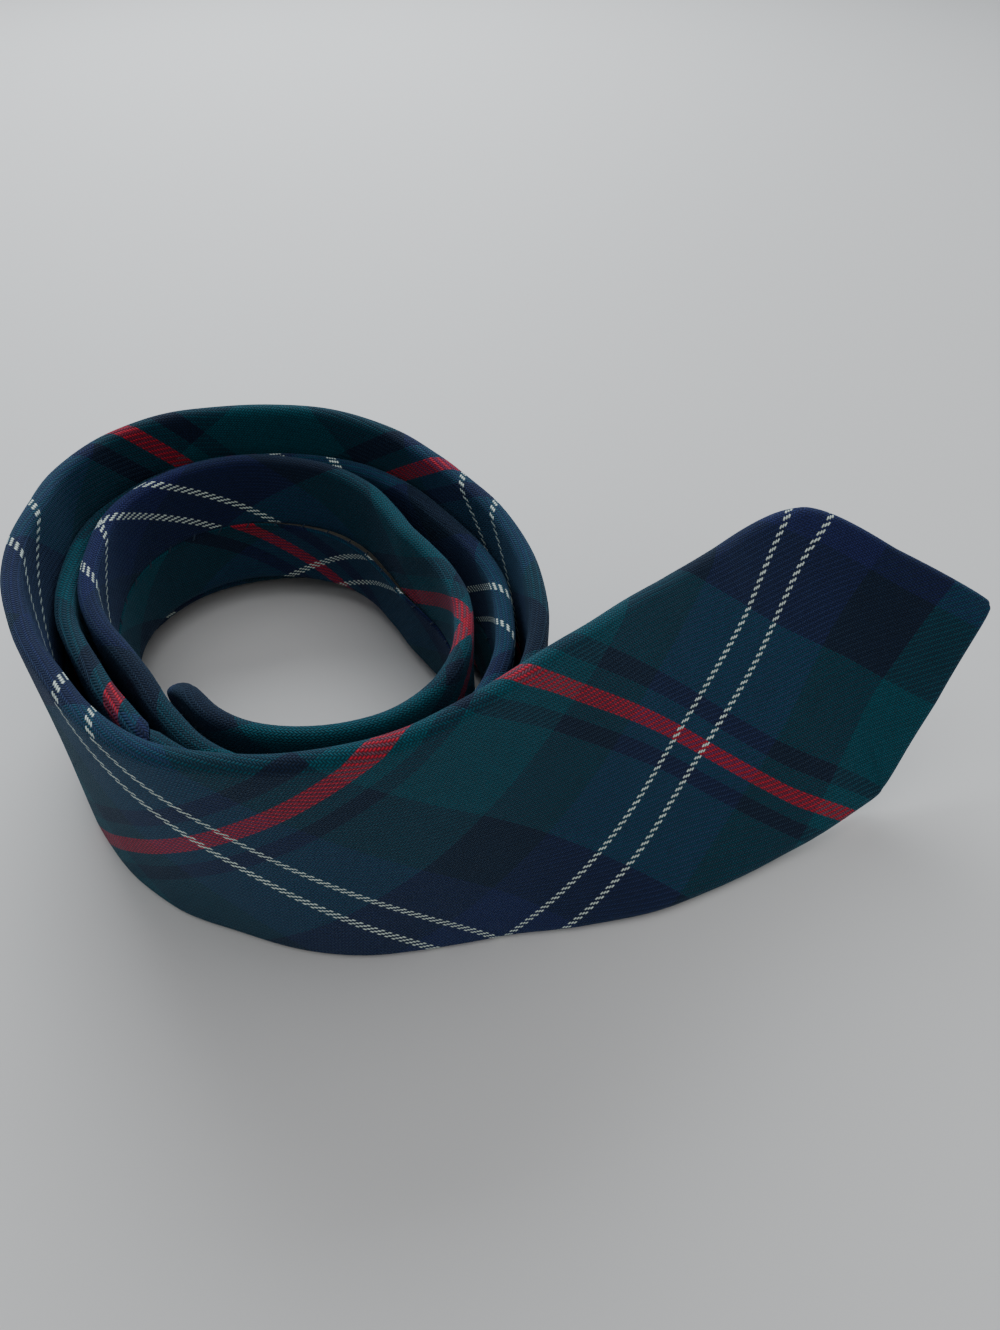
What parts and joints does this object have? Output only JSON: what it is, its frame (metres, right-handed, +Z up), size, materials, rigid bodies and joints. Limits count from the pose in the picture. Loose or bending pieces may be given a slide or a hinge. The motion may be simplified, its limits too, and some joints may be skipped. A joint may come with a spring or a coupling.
{
  "type": "necktie",
  "caption": "Tartan wool necktie, loosely rolled up and standing on its edge, with the pointed blade's free end leaning back to the right.",
  "frame": {"origin": "under the middle of the whole tie's box, on the surface that it stands on", "axes": "+Z up, +X along the blade's free end towards its point, -Y out of the blade's face"},
  "size_m": [0.246, 0.1534, 0.0775],
  "materials": {
    "tartan_wool": "matte brushed twill wool in navy, green and near-black checks with a crimson band and paired cream lines",
    "interlining_wool": "matte undyed woven wool",
    "tipping_lining": "soft satin navy lining",
    "sewing_thread": "matte dark navy sewing thread"
  },
  "bodies": {
    "roll": {"blade_cloth_rolled": "tartan_wool", "neck_cloth": "tartan_wool", "tail_cloth": "tartan_wool", "interlining_rolled": "interlining_wool", "tail_tipping": "tipping_lining", "slip_stitch_rolled": "sewing_thread", "tail_bar_tack": "sewing_thread", "neck_seam_stitches": "sewing_thread", "tail_seam_stitches": "sewing_thread"},
    "free_end": {"blade_cloth_free_end": "tartan_wool", "interlining_free_end": "interlining_wool", "blade_tipping": "tipping_lining", "slip_stitch_free_end": "sewing_thread", "blade_bar_tack": "sewing_thread", "keeper_loop": "tartan_wool", "loop_tack_upper": "sewing_thread", "loop_tack_lower": "sewing_thread"}
  },
  "joints": [
    {"name": "free_end_swing", "type": "hinge", "parent": "roll", "child": "free_end", "pos_m": [-0.0159, -0.0677, 0.0383], "axis": [0, 0, 1], "range_deg": [-25, 12]}
  ]
}
